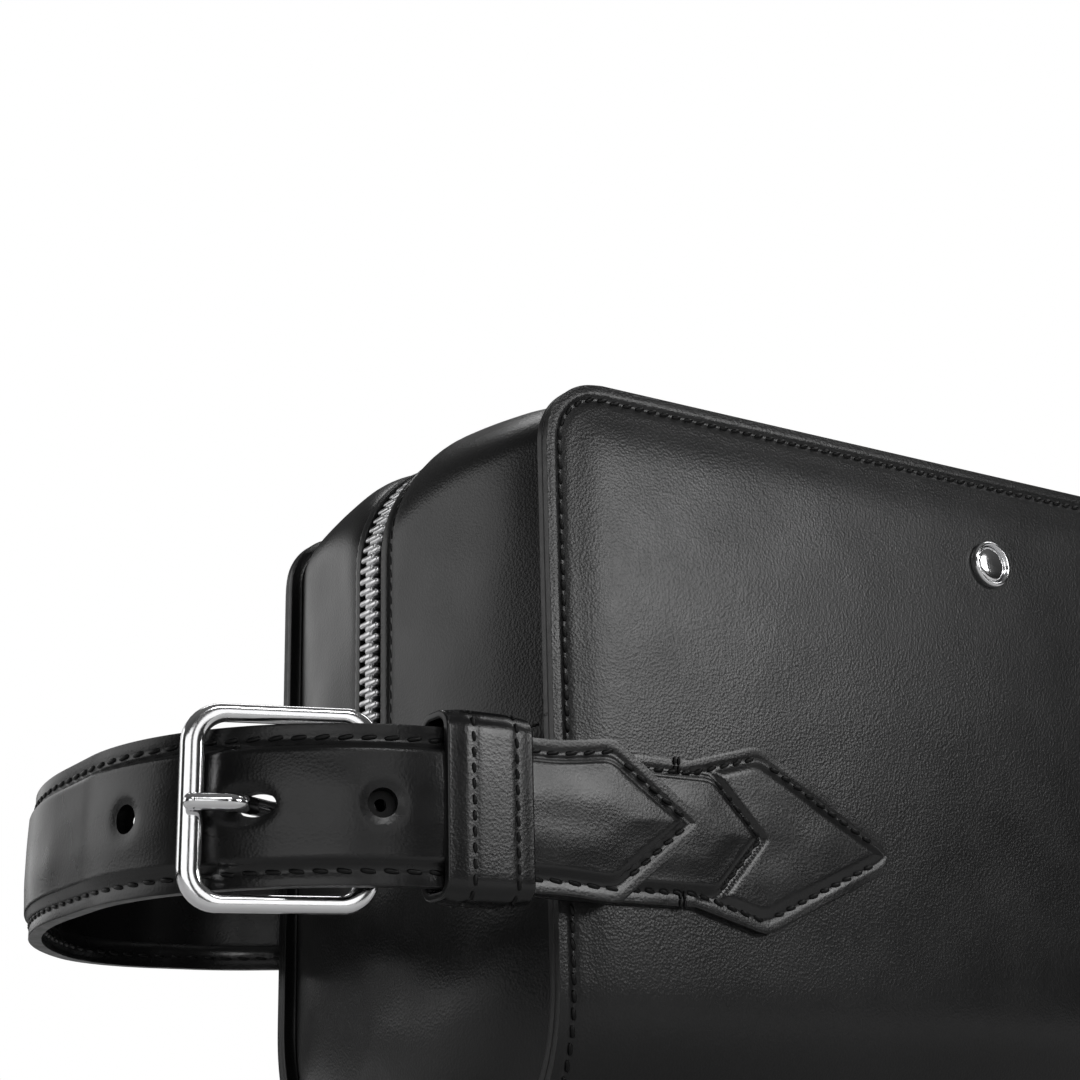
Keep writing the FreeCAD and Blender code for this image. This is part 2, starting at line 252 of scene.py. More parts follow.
def makeCalf(name, roughLow, roughHigh, bump):
    # smooth box calf: fine pores over faint creases, with cloudy sheen
    material, tree, shader = newMaterial(name, calf["dark"], roughLow)
    point = objectPoint(tree)
    clouds = noiseNode(tree, point, 34.0)
    colorMix(tree, shader, spread(tree, clouds, 0.0, 1.0), calf["dark"], calf["light"])
    cloudySheen(tree, shader, point, 75.0, roughLow, roughHigh)
    addBump(tree, shader, noiseNode(tree, point, calf["creaseScale"], 5.0, 0.65), 0.035 * bump, 0.0004)
    addBump(tree, shader, voronoiNode(tree, point, calf["poreScale"]), 0.11 * bump, 0.0002)
    return material


def makePlain(name, color, rough, metallic, sheen, grain):
    # sheen: scale and range of the cloudy roughness; grain: scale, strength and depth of the bump
    material, tree, shader = newMaterial(name, color, rough, metallic)
    point = objectPoint(tree)
    cloudySheen(tree, shader, point, *sheen)
    addBump(tree, shader, noiseNode(tree, point, grain[0]), *grain[1:])
    return material


def weaveHeight(tree, point, scale):
    heights = []
    for direction in ("X", "Z"):
        threads = addNode(tree, "TexWave", {"Scale": scale, "Distortion": 0.6})
        threads.wave_type = "BANDS"
        threads.bands_direction = direction
        tree.links.new(point, threads.inputs["Vector"])
        heights.append(threads.outputs["Fac"])
    both = tree.nodes.new("ShaderNodeMath")
    both.operation = "MULTIPLY"
    tree.links.new(heights[0], both.inputs[0])
    tree.links.new(heights[1], both.inputs[1])
    return both.outputs["Value"]


def makeCloth(name, color, scale, rough):
    material, tree, shader = newMaterial(name, color, rough)
    point = objectPoint(tree)
    height = weaveHeight(tree, point, scale)
    lighter = tuple(c * 1.7 for c in color)
    colorMix(tree, shader, height, color, lighter)
    addBump(tree, shader, height, 0.5, 0.0002)
    return material


def makeMetal(name, color, roughLow, roughHigh, bump):
    return makePlain(name, color, roughLow, 1.0, (260.0, roughLow, roughHigh), (700.0, bump, 0.00006))


def makeBoard():
    material, tree, shader = newMaterial("fibreBoard", (0.32, 0.27, 0.21), 0.85)
    point = objectPoint(tree, (1, 3, 3))
    flecks = noiseNode(tree, point, 500.0, 6.0, 0.7)
    colorMix(tree, shader, spread(tree, flecks, 0, 1), (0.24, 0.20, 0.15), (0.38, 0.33, 0.26))
    addBump(tree, shader, flecks, 0.3, 0.0002)
    return material


def makeFloorPaint():
    return newMaterial("paleFloor", (0.82, 0.82, 0.82), 0.6)[0]


calfBody = makeCalf("boxCalf", calf["roughLow"], calf["roughHigh"], 1.5)
calfStrap = makeCalf("strapCalf", 0.23, 0.31, 0.75)
edgePaint = makePlain("edgePaint", (0.006, 0.006, 0.0062), 0.36, 0.0, (420.0, 0.32, 0.44), (900.0, 0.18, 0.0002))
# near-black thread; the hole cutters pass this same material to the strap's holes, where it is painted shade
threadAndHoleShade = makePlain("waxedThreadAndHoleShade", (0.002, 0.002, 0.0021), 0.4, 0.0, (2500.0, 0.28, 0.42), (5000.0, 0.5, 0.0001))
threadAndHoleShade.node_tree.nodes["Principled BSDF"].inputs["Specular IOR Level"].default_value = 0.25
tapeMat = makeCloth("zipTape", (0.010, 0.010, 0.011), 700.0, 0.8)
liningMat = makeCloth("liningCloth", (0.028, 0.028, 0.032), 420.0, 0.75)
toothMat = makeMetal("nickelTeeth", (0.80, 0.80, 0.81), 0.24, 0.36, 0.2)
polishMat = makeMetal("polishedPlate", (0.90, 0.90, 0.91), 0.08, 0.14, 0.08)
boardMat = makeBoard()


def smooth01(t):
    t = min(1.0, max(0.0, t))
    return t * t * (3 - 2 * t)


def hump(d, middle, wide):
    return exp(-(((d - middle) / wide) ** 2))


def wave(x, y, z):
    return noise.noise(Vector((x, y, z)))


def pieceFrom(bm, name, materials, smooth=True):
    mesh = bpy.data.meshes.new(name)
    bm.to_mesh(mesh)
    bm.free()
    for material in materials:
        mesh.materials.append(material)
    if smooth:
        mesh.shade_smooth()
    return newObject(name, mesh)


def applied(piece):
    bpy.context.view_layer.update()
    graph = bpy.context.evaluated_depsgraph_get()
    mesh = bpy.data.meshes.new_from_object(piece.evaluated_get(graph))
    old = piece.data
    piece.modifiers.clear()
    piece.data = mesh
    bpy.data.meshes.remove(old)
    piece.data.shade_smooth()
    return piece


def gridMesh(us, vs, place, outward):
    # a sheet: rows and columns at the given steps, each point put where place() says
    bm = bmesh.new()
    bmesh.ops.create_grid(bm, x_segments=len(us) - 1, y_segments=len(vs) - 1, size=1)
    for vert in bm.verts:
        i = round((vert.co.x + 1) / 2 * (len(us) - 1))
        j = round((vert.co.y + 1) / 2 * (len(vs) - 1))
        vert.co = place(us[i], vs[j]) * mm
    bmesh.ops.remove_doubles(bm, verts=bm.verts, dist=0.00002)
    bm.normal_update()
    facing = sum(f.normal.dot(outward(f.calc_center_median() / mm)) * f.calc_area() for f in bm.faces)
    if facing < 0:
        bmesh.ops.reverse_faces(bm, faces=bm.faces)
    return bm


def wallAndRim(piece, thick, rimWide, even):
    # gives a sheet its thickness, then rounds its cut edges
    wall = piece.modifiers.new("thickness", "SOLIDIFY")
    wall.thickness = thick * mm
    wall.offset = -1
    wall.use_even_offset = even
    wall.material_offset_rim = 1
    rim = piece.modifiers.new("rim", "BEVEL")
    rim.width = rimWide * mm
    rim.segments = 3
    rim.limit_method = "ANGLE"
    rim.angle_limit = radians(55)
    return applied(piece)


def leatherSheet(name, us, vs, place, outward, thick, rimWide=0.4, materials=None, levels=0, even=True):
    bm = gridMesh(us, vs, place, outward)
    piece = pieceFrom(bm, name, materials or [calfBody, edgePaint])
    if levels:
        finer = piece.modifiers.new("finer", "SUBSURF")
        finer.levels = levels
        finer.render_levels = levels
    return wallAndRim(piece, thick, rimWide, even)


def mirrored(p, flip):
    return Vector((p.x, -p.y, p.z)) if flip else p


def between(low, high, count):
    return [low + (high - low) * k / count for k in range(count + 1)]


def fromEdges(half, near, count):
    # steps from -half to half, close together near both edges
    left = [-half + d for d in near]
    right = [half - d for d in reversed(near)]
    middle = between(left[-1], right[0], count)[1:-1]
    return left + middle + right


def pour(source, target):
    # adds the first mesh to the second
    mesh = bpy.data.meshes.new("part")
    source.to_mesh(mesh)
    source.free()
    target.from_mesh(mesh)
    bpy.data.meshes.remove(mesh)


def stamp(target, template, matrix):
    # adds a placed copy of a small shape to a mesh
    copy = template.copy()
    copy.transform(matrix)
    pour(copy, target)


def axesAt(place, x, y, z):
    return Matrix.Translation(place * mm) @ Matrix((x, y, z)).transposed().to_4x4()


def frameMatrix(place, along, outward):
    # local X along the path, local Z outward
    x = along.normalized()
    z = (outward - x * outward.dot(x)).normalized()
    return axesAt(place, x, z.cross(x), z)


def stitchTemplate(length, thick):
    bm = bmesh.new()
    bmesh.ops.create_uvsphere(bm, u_segments=8, v_segments=6, radius=1)
    for vert in bm.verts:
        x = vert.co.z
        swell = abs(x) ** 0.6 * (1 if x > 0 else -1)
        vert.co = Vector((swell * length / 2, vert.co.x * thick / 2, vert.co.y * thick / 2)) * mm
    return bm


def polyline(points):
    # running length along a list of points
    total = [0.0]
    for a, b in zip(points, points[1:]):
        total.append(total[-1] + (b[0] - a[0]).length)
    return total


def sewAlong(gather, samples, pitch, length, thick, slant, sink=0.0, start=0.0):
    # samples: (place, outward) pairs along the seam
    runs = polyline(samples)
    template = stitchTemplate(length, thick)
    count = int((runs[-1] - start) / pitch)
    k = 0
    for n in range(count):
        s = start + (n + 0.5) * pitch
        while k < len(runs) - 2 and runs[k + 1] < s:
            k += 1
        t = (s - runs[k]) / max(1e-9, runs[k + 1] - runs[k])
        place = samples[k][0].lerp(samples[k + 1][0], t)
        outward = samples[k][1].lerp(samples[k + 1][1], t)
        along = samples[k + 1][0] - samples[k][0]
        matrix = frameMatrix(place - outward * sink, along, outward)
        wobble = slant + random.uniform(-0.04, 0.04)
        stamp(gather, template, matrix @ Matrix.Rotation(wobble, 4, "Z"))
    template.free()


def frontTrack(w):
    # from the middle of the base (0) under the front edge and up: y, z and outward normal
    flat = halfDepth - bag["baseRadius"]
    bend = bag["baseRadius"] * pi / 2
    if w < flat:
        return -w, 0.0, Vector((0, 0, -1))
    if w < flat + bend:
        a = (w - flat) / bag["baseRadius"]
        n = Vector((0, -sin(a), -cos(a)))
        return -flat + n.y * bag["baseRadius"], bag["baseRadius"] + n.z * bag["baseRadius"], n
    return -halfDepth, bag["baseRadius"] + (w - flat - bend), Vector((0, -1, 0))


trackTop = (halfDepth - bag["baseRadius"]) + bag["baseRadius"] * pi / 2 + topZ - bag["baseRadius"]


def panelHalf(fromTop):
    # half width of the panel at a distance below its top edge
    r = bag["panelRadius"]
    if fromTop >= r:
        return halfWidth
    return halfWidth - r + sqrt(max(0.0, r * r - (r - fromTop) ** 2))


def edgeDistance(x, fromTop):
    r = bag["panelRadius"]
    side = halfWidth - abs(x)
    if side < r and fromTop < r:
        return r - hypot(r - side, r - fromTop)
    return min(side, fromTop)


def crownAt(d):
    groove = 0.42 * hump(d, bag["stitchIn"], 0.6)
    lip = 0.12 * smooth01(d / 1.6) * (1 - smooth01((d - 2.0) / 2.0))
    return bag["crown"] * smooth01((d - 3.0) / 9.0) - groove + lip


def panelPoint(x, w):
    y, z, n = frontTrack(w)
    d = edgeDistance(x, trackTop - w)
    broad = wave(x * 0.022, w * 0.022, 3.1) * 0.32 * smooth01((d - 3) / 14)
    fine = wave(x * 0.11, w * 0.11, 8.3) * 0.10 * smooth01((d - 3) / 6)
    standing = crownAt(d) * (1 if z > 2 else max(0.0, z / 2))
    return Vector((x, y, z)) + n * (standing + (broad + fine) * smooth01((z - 6) / 20))


nearEdge = [0.0, 0.35, 0.9, 1.6, 2.2, 2.8, 3.4, 4.2, 5.4, 7.0, 9.0, 12.0]


def makeSkin(name, flip):
    # one hide from under the base up to the top edge
    us = [u / halfWidth for u in fromEdges(halfWidth, nearEdge, 26)]
    r = bag["panelRadius"]
    fall = [0.0, 0.35, 0.9, 1.6, 2.2, 2.8, 3.4, 4.2, 5.4, 7.0, 9.0, r]
    vs = between(0, trackTop - r, 46) + [trackTop - f for f in reversed(fall[:-1])]

    def place(u, w):
        half = panelHalf(trackTop - w)
        p = panelPoint(u * half, w)
        return mirrored(p, flip)

    def outward(p):
        return Vector((0, p.y, p.z - 60))

    return leatherSheet(name, us, vs, place, outward, leather, 0.45, levels=1)


def swell(y, power):
    return 1 - (abs(y) / (halfDepth - 2 * leather)) ** power


def gussetSize(y):
    y = min(abs(y), halfDepth - 2 * leather)
    side = halfWidth - bag["valley"] + bag["bulge"] * swell(y, bag["swellPower"])
    top = topZ - bag["valley"] + bag["bulgeTop"] * swell(y, bag["swellPower"])
    rounder = (bag["zipRadius"] - bag["panelRadius"] + bag["valley"]) * swell(y, 0.8)
    radius = bag["panelRadius"] - bag["valley"] + rounder
    return side, top, radius


def archPoint(side, top, radius, s, foot):
    # s runs 0-1 up the left, 1-2 round the corner, 2-3 across, 3-4 round, 4-5 down: x, z, outward
    if s > 2.5:
        x, z, n = archPoint(side, top, radius, 5 - s, foot)
        return -x, z, Vector((-n.x, 0, n.z))
    if s < 1:
        return -side, foot + (top - radius - foot) * s, Vector((-1, 0, 0))
    if s < 2:
        a = (s - 1) * pi / 2
        n = Vector((-cos(a), 0, sin(a)))
        return -side + radius + n.x * radius, top - radius + n.z * radius, n
    run = (side - radius) * 2
    return -side + radius + run * (s - 2), top, Vector((0, 0, 1))


# across the gusset, from its raw edge in to the zip: y behind the flange face, and how far out
flangeSteps = [(0.0, 0.0), (0.0, -0.5), (0.0, -1.2), (0.05, -1.9), (0.2, -2.4)]
rollSteps = [48.4, 47.6, 46.2, 44.0, 41.0, 37.0, 32.0, 26.0, 20.0, 15.0, 11.0, 8.6, 7.6, 7.0, 6.4, 5.8, 5.1, 4.6]


def gussetProfile():
    face = halfDepth - 2 * leather
    steps = []
    for back, out in flangeSteps:
        steps.append((face - back, ("flange", out)))
    for y in rollSteps + [bag["leatherEdge"]]:
        steps.append((y, ("roll", 0.0)))
    return steps


def gussetPoint(step, s, foot):
    y, (kind, out) = step
    if kind == "flange":
        x, z, n = archPoint(halfWidth + out, topZ + out, bag["panelRadius"] + out, s, foot)
        return Vector((x, -y, z))
    side, top, radius = gussetSize(y)
    x, z, n = archPoint(side, top, radius, s, foot)
    edge = y - bag["leatherEdge"]
    ridge = 0.45 * (1 - smooth01((edge - 1.9) / 0.9)) - 0.25 * hump(edge, 2.8, 0.6)
    away = smooth01((48 - y) / 14)
    soft = wave(x * 0.03, y * 0.045, z * 0.03 + 5) * 1.5 * away * smooth01((y - 5) / 10)
    fine = wave(x * 0.10, y * 0.10, z * 0.10) * 0.22 * away * smooth01((y - 5) / 8)
    return Vector((x, -y, z)) + n * (ridge + soft + fine)


def stages(*counts):
    # steps over a track whose parts are one long each, with a count for each part
    steps = []
    for k, count in enumerate(counts):
        steps += between(k, k + 1, count)[:-1]
    return steps + [float(len(counts))]


def archSteps():
    return stages(16, 14, 30, 14, 16)


gussetFoot = mouthZ - 6.6


def makeGusset(name, flip):
    steps = gussetProfile()

    def place(k, s):
        p = gussetPoint(steps[int(k)], s, gussetFoot)
        return mirrored(p, flip)

    def outward(p):
        return Vector((p.x, 0, p.z - 70))

    return leatherSheet(name, list(range(len(steps))), archSteps(), place, outward, leather, 0.4, levels=1)


print("materials and helpers ready")
makeCamera()
makeLights()
makeWorld()

sideName = {-1: "Front", 1: "Back"}
cadSide = {-1: "front", 1: "back"}


def rigid(piece, node, body):
    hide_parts(node)
    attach(piece, body)


def bendWithMouth(piece):
    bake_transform(piece)


def bending(piece, side, slot, *nodes):
    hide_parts(*nodes)
    bendWithMouth(piece)


for side in (-1, 1):
    skin = makeSkin("skin" + sideName[side], side > 0)
    bending(skin, side, "leather", cadSide[side] + "_panel", "base_wrap")
    gusset = makeGusset("gusset" + sideName[side], side > 0)
    bending(gusset, side, "leather", cadSide[side] + "_gusset")
print("body leather made")

def endSteps():
    steps = []
    for back, out in flangeSteps:
        steps.append((back, halfWidth + out))
    inner = halfDepth - 2 * leather
    for inset in (0.6, 1.4, 2.8, 5, 8, 12, 17, 22, 27, 32, 37, 41, 44.5, 47, inner):
        steps.append((inset, gussetSize(inner - inset)[0]))
    return steps


def endPoint(step, s, top, inward=0.0):
    # s runs down the front edge, under, and up the back edge of the end
    inset, x = step
    side = halfDepth - 2 * leather - inset
    lift = 2 * leather + 0.45 * inset
    radius = min(bag["baseRadius"] - 3.0 - 0.5 * inset, side)
    mirror = 1
    if s > 2.5:
        s = 5 - s
        mirror = -1
    if s < 1:
        y, z = -side, top - (top - lift - radius) * s
    elif s < 2:
        a = (s - 1) * pi / 2
        y, z = -side + radius - cos(a) * radius, lift + radius - sin(a) * radius
    else:
        y, z = -side + radius + (side - radius) * 2 * (s - 2), lift
    y *= mirror
    away = smooth01(inset / 10)
    lap = -1.75 * smooth01((z - 67.5) / 4) * smooth01((inset - 0.2) / 2)
    soft = wave(7.0, y * 0.045, z * 0.035) * 1.6 * away
    fine = wave(3.0, y * 0.11, z * 0.11) * 0.22 * away
    return Vector((-(x + lap + (soft + fine) * smooth01((top - z) / 12) - inward), y, z))


endTop = mouthZ - 0.8


def makeEnd(name, right):
    steps = endSteps()
    ss = stages(24, 10, 12, 10, 24)

    def place(k, t):
        p = endPoint(steps[int(k)], t, endTop)
        return Vector((-p.x, p.y, p.z)) if right else p

    def outward(p):
        return Vector((p.x, 0, 0))

    return leatherSheet(name, list(range(len(steps))), ss, place, outward, leather, 0.4, levels=1, even=False)


for name, right in (("endLeft", False), ("endRight", True)):
    end = makeEnd(name, right)
    rigid(end, "end_gusset_right" if right else "end_gusset_left", "root")
print("ends made")


zipSize = {"pitch": 2.18, "first": 3.5, "thick": 1.34, "across": 4.5, "deep": 2.2, "sunk": 0.7, "parted": 13.0}


def zipPlace(distance):
    side, top, radius = gussetSize(0)
    rise = top - radius - mouthZ
    bend = radius * pi / 2
    run = 2 * (side - radius)
    total = 2 * rise + 2 * bend + run
    back = distance > total / 2
    d = total - distance if back else distance
    if d < rise:
        x, z, n = -side, mouthZ + d, Vector((-1, 0, 0))
    elif d < rise + bend:
        a = (d - rise) / radius
        n = Vector((-cos(a), 0, sin(a)))
        x, z = -side + radius + n.x * radius, top - radius + n.z * radius
    else:
        x, z, n = -side + radius + d - rise - bend, top, up.copy()
    if back:
        x, n = -x, Vector((-n.x, 0, n.z))
    return Vector((x, 0, z)), n, total


def toothTemplate():
    bm = bmesh.new()
    bmesh.ops.create_cube(bm, size=1)
    for vert in bm.verts:
        head = vert.co.y > 0
        thick = zipSize["thick"] * (1.0 if head else 0.86)
        vert.co = Vector((vert.co.x * thick, vert.co.y * zipSize["across"], vert.co.z * zipSize["deep"])) * mm
    bmesh.ops.bevel(bm, geom=bm.edges[:], offset=0.42 * mm, affect="EDGES", segments=2, profile=0.5, material=-1)
    return bm


def makeTeeth(side):
    gather = bmesh.new()
    template = toothTemplate()
    total = zipPlace(0)[2]
    count = int((total - 2 * zipSize["first"]) / (zipSize["pitch"] / 2))
    for i in range(0 if side < 0 else 1, count, 2):
        place, n, total = zipPlace(zipSize["first"] + i * zipSize["pitch"] / 2)
        if side < 0 and abs(place.x) < zipSize["parted"]:
            continue
        ahead = zipPlace(zipSize["first"] + i * zipSize["pitch"] / 2 + 0.1)[0] - place
        proud = 1.7 * smooth01((abs(place.x) - 84) / 18)
        middle = place - n * (zipSize["sunk"] - proud + zipSize["deep"] / 2) + Vector((0, side * 1.15, 0))
        x = ahead.normalized()
        y = Vector((0, -side, 0))
        stamp(gather, template, axesAt(middle, x, y, x.cross(y)))
    template.free()
    return pieceFrom(gather, "teeth" + sideName[side], [toothMat])


def makeTape(side):
    ys = [1.5, 1.9, 2.6, 3.4, 4.4, 6.0, 8.0, 10.0]

    def place(y, s):
        across, top, radius = gussetSize(y)
        x, z, n = archPoint(across, top, radius, s, gussetFoot)
        bead = 0.35 * (1 - smooth01((y - 1.6) / 0.9))
        return Vector((x, side * y, z)) - n * (1.75 - bead)

    def outward(p):
        return Vector((p.x, 0, p.z - 70))

    return leatherSheet("tape" + sideName[side], ys, archSteps(), place, outward, 0.5, 0.1, [tapeMat, tapeMat], 1)


for side in (-1, 1):
    teeth = makeTeeth(side)
    bending(teeth, side, "zip_metal", "zip_teeth_" + cadSide[side])
    tape = makeTape(side)
    bending(tape, side, "tape", "zip_tape_" + cadSide[side])
print("zip made")


lining = {
    "thick": 0.5,
    "underGusset": 2.4,
    "underBase": 3.2,
    "atPanel": 0.2,         # free space between the front panel and its lining
    "fromEdge": 9.0,
}


def clothPiece(bm, name):
    piece = pieceFrom(bm, name, [liningMat])
    wall = piece.modifiers.new("thickness", "SOLIDIFY")
    wall.thickness = lining["thick"] * mm
    return applied(piece)


def makeFlapLining(side):
    def panelPlace(x, z):
        return Vector((x, side * (halfDepth - leather - lining["atPanel"]), z))

    inner = halfWidth - lining["fromEdge"]
    panel = gridMesh(between(-inner, inner, 12), between(gussetFoot, topZ - lining["fromEdge"], 10), panelPlace,
                     lambda p: Vector((0, -side, 0)))

    def stripPlace(y, s):
        across, top, radius = gussetSize(y)
        x, z, n = archPoint(across, top, radius, s, gussetFoot)
        return Vector((x, side * y, z)) - n * lining["underGusset"]

    ys = [10.5, 16, 22, 28, 34, 39, 43, 46, 48]
    strip = gridMesh(ys, archSteps(), stripPlace, lambda p: Vector((-p.x, 0, 70 - p.z)))
    pour(strip, panel)
    return clothPiece(panel, "lining" + sideName[side])


def makeBaseLining():
    inner = halfWidth - 7.4

    def place(x, w):
        y, z, n = frontTrack(abs(w))
        p = Vector((x, y, z)) - n * lining["underBase"]
        return mirrored(p, w < 0)

    high = trackTop - (topZ - mouthZ) - 0.5
    ws = between(-high, high, 60)
    base = gridMesh(between(-inner, inner, 16), ws, place, lambda p: Vector((0, -p.y, 40 - p.z)))
    steps = [s for s in endSteps() if s[0] >= 0.6]
    ss = between(0, 5, 60)
    for sign in (-1, 1):
        def endPlace(k, t):
            p = endPoint(steps[int(k)], t, mouthZ - 0.5, lining["underGusset"])
            return Vector((-sign * p.x, p.y, p.z))
        end = gridMesh(list(range(len(steps))), ss, endPlace, lambda p: Vector((-p.x, 0, 0)))
        pour(end, base)
    return clothPiece(base, "liningBase")


for side in (-1, 1):
    cloth = makeFlapLining(side)
    bending(cloth, side, "lining", cadSide[side] + "_lining")
cloth = makeBaseLining()
rigid(cloth, "base_lining", "root")
print("lining made")


handle = {
    "half": 12.5,
    "middle": (strapLow.z + strapHigh.z) / 2,
    "thick": 2.3,
    "border": 2.9,          # flat stitched border
    "padding": 0.95,        # how far the padded middle stands up
    "frontTurn": 45.0,
    "sideTurn": 88.0,
    "sideAngle": 39.6,
    "backTurn": 31.0,
    "swingTurn": 30.0,
    "swingAngle": 25.0,
    "backRun": 8.0,
    "turnX": -125.0,
    "tipX": -80.0,
    "point": 16.5,          # length of the pointed tip
    "flare": 1.1,           # the strap broadens towards its tip
    "stitchIn": 2.2,
    "tipRadius": 3.2,       # rounded point
    "pitch": 3.6,
}
turnY = strapLow.y + handle["frontTurn"]


def forward(heading):
    return Vector((cos(heading), sin(heading), 0))


def inwardOf(heading):
    return Vector((sin(heading), -cos(heading), 0))


def trackFrom(start, heading, moves):
    # returns a function of distance: place, direction and outward normal, seen from above
    parts = []
    place = Vector((start[0], start[1], handle["middle"]))
    for kind, size, angle in moves:
        n = inwardOf(heading)
        if kind == "line":
            parts.append((size, place.copy(), heading, 0.0))
            place += forward(heading) * size
        else:
            turn = radians(angle)
            parts.append((abs(size) * turn, place.copy(), heading, size))
            centre = place + n * size
            heading -= turn * (1 if size > 0 else -1)
            place = centre - inwardOf(heading) * size
    total = sum(p[0] for p in parts)

    def at(s):
        s = min(max(s, 0.0), total)
        for run, begin, head, size in parts:
            if s <= run or run is parts[-1][0]:
                break
            s -= run
        n = inwardOf(head)
        if size == 0.0:
            return begin + forward(head) * s, forward(head), -n
        centre = begin + n * size
        head -= s / size
        n = inwardOf(head)
        return centre - n * size, forward(head), -n

    return at, total


def handleMoves():
    side = radians(handle["sideAngle"])
    swing = radians(handle["swingAngle"])
    reach = handle["sideTurn"] * sin(side) + handle["backTurn"] * (1 - sin(side))
    drop = reach - halfDepth - 1.2 - handle["thick"]
    drop -= (handle["backTurn"] + handle["swingTurn"]) * (1 - cos(swing))
    return [("line", handle["tipX"] - handle["turnX"], 0), ("arc", handle["frontTurn"], 90.0),
            ("line", -turnY, 0), ("arc", handle["sideTurn"], handle["sideAngle"]),
            ("arc", handle["backTurn"], 90.0 - handle["sideAngle"]), ("line", handle["backRun"], 0),
            ("arc", handle["backTurn"], handle["swingAngle"]), ("line", drop / sin(swing), 0),
            ("arc", -handle["swingTurn"], handle["swingAngle"]), ("line", 14.0, 0)]


strapTrack, strapLength = trackFrom((handle["tipX"], strapLow.y), pi, handleMoves())


def slopeHalf(s, length, half, r):
    # half width of a pointed end with a rounded tip, not yet met by the straight sides
    slope = (half - 0.75 * r) / (length - 0.35 * r)
    lean = atan(slope)
    meet = r - r * sin(lean)
    if s < meet:
        return sqrt(max(0.0, r * r - (r - s) ** 2))
    return r * cos(lean) + slope * (s - meet)


def softMin(a, b, reach):
    # the smaller of two, rounded where they cross
    h = max(0.0, reach - abs(a - b)) / reach
    return min(a, b) - h * h * reach / 4


def strapSides(s):
    return handle["half"] + handle["flare"] * (1 - smooth01((s - 14) / 16))


def strapEnds(s):
    tip = slopeHalf(s, handle["point"], handle["half"] + handle["flare"], handle["tipRadius"])
    return min(tip, slopeHalf(strapLength - s, 11.0, handle["half"], handle["tipRadius"]))


def strapHalf(s):
    return max(0.01, softMin(strapSides(s), strapEnds(s), 1.0))


def strapShift(s):
    return 0.9 * (1 - smooth01(s / 30))


frontTurnRun = handle["tipX"] - handle["turnX"]


def bendRun(angle):
    return frontTurnRun + handle["frontTurn"] * radians(270 - angle)


holes = {"holeNear": bendRun(252.0), "holeUsed": bendRun(225.8), "holeFar": bendRun(197.0)}


def strapHeight(s, v):
    d = softMin(strapSides(s) - abs(v), (strapEnds(s) - abs(v)) * 0.78, 1.2)
    h = handle["padding"] * smooth01((d - handle["border"]) / 1.25) + 0.28 * smooth01((d - 3.5) / 7)
    h -= 0.16 * hump(d, handle["stitchIn"], 0.5)
    for name, run in holes.items():
        long = 1.0 if name != "holeUsed" else 0.7
        r = hypot((s - run) * long, v)
        h -= 0.5 * (1 - smooth01((r - 1.6) / 2.6))
    h += wave(s * 0.09, v * 0.16, 1.7) * 0.10 * smooth01((d - 3) / 3)
    return h


def ribbonPiece(name, track, length, halfAt, heightAt, thick, step, columns, shiftAt=None):
    count = int(length / step)
    ends = [0.01, 0.07, 0.18, 0.36]
    steps = ends + between(0.62, length - 0.62, count) + [length - end for end in reversed(ends)]

    def place(c, s):
        half = halfAt(s)
        v = c * half
        p, _, out = track(s)
        shift = shiftAt(s) if shiftAt else 0.0
        return p + up * (v + shift) + out * heightAt(s, v)

    def outward(p):
        level = Vector((p.x, p.y, handle["middle"]))
        best = min(range(0, len(steps), 4), key=lambda k: (track(steps[k])[0] - level).length)
        return track(steps[best])[2]

    bm = gridMesh(columns, steps, place, outward)
    return wallAndRim(pieceFrom(bm, name, [calfStrap, edgePaint]), thick, 0.42, False)


strapColumns = [-1, -0.965, -0.93, -0.89, -0.85, -0.81, -0.78, -0.75, -0.72, -0.69, -0.66, -0.62, -0.56, -0.48,
                -0.40, -0.32, -0.25, -0.18, -0.12, -0.06, 0]
strapColumns = strapColumns + [-c for c in reversed(strapColumns[:-1])]


def cutWith(piece, cutters):
    for cutter in cutters:
        cut = piece.modifiers.new("cut", "BOOLEAN")
        cut.operation = "DIFFERENCE"
        cut.solver = "EXACT"
        cut.material_mode = "TRANSFER"
        cut.object = cutter
    applied(piece)
    for cutter in cutters:
        bpy.data.objects.remove(cutter)
    piece.data.set_sharp_from_angle(angle=radians(42))
    return piece


punched = {
    "slotShift": -1.4,      # the slot lies towards the tip, where the tongue swings
    "slotRadius": 1.95,
    "slotLonger": 1.7,
    "mouthRadius": 2.35,    # the unused holes are wide in front and narrow behind
    "mouthDeep": 1.5,
    "throatRadius": 1.0,
    "through": 4.5,
}


def punch(track, run, radius, longer, reach):
    # a round cutter standing on the strap, its foot a distance under the face; the near-black thread material it
    # carries colours the walls and floor it cuts, as painted shade inside the hole
    p, ahead, out = track(run)
    bm = bmesh.new()
    bmesh.ops.create_cone(bm, cap_ends=True, segments=32, radius1=radius * mm, radius2=radius * mm, depth=8 * mm)
    for vert in bm.verts:
        vert.co.x *= longer
        vert.co.z += (4 - reach) * mm
    bmesh.ops.transform(bm, matrix=frameMatrix(p, ahead, out), verts=bm.verts)
    return pieceFrom(bm, "punch", [threadAndHoleShade])


def makeStrap():
    strap = ribbonPiece("handleStrap", strapTrack, strapLength, strapHalf, strapHeight, handle["thick"], 0.6,
                        strapColumns, strapShift)
    slotRun = holes["holeUsed"] + punched["slotShift"]
    cutters = [punch(strapTrack, slotRun, punched["slotRadius"], punched["slotLonger"], punched["through"])]
    for run in ("holeNear", "holeFar"):
        cutters.append(punch(strapTrack, holes[run], punched["mouthRadius"], 1.0, punched["mouthDeep"]))
        cutters.append(punch(strapTrack, holes[run], punched["throatRadius"], 1.0, punched["through"]))
    return cutWith(strap, cutters)


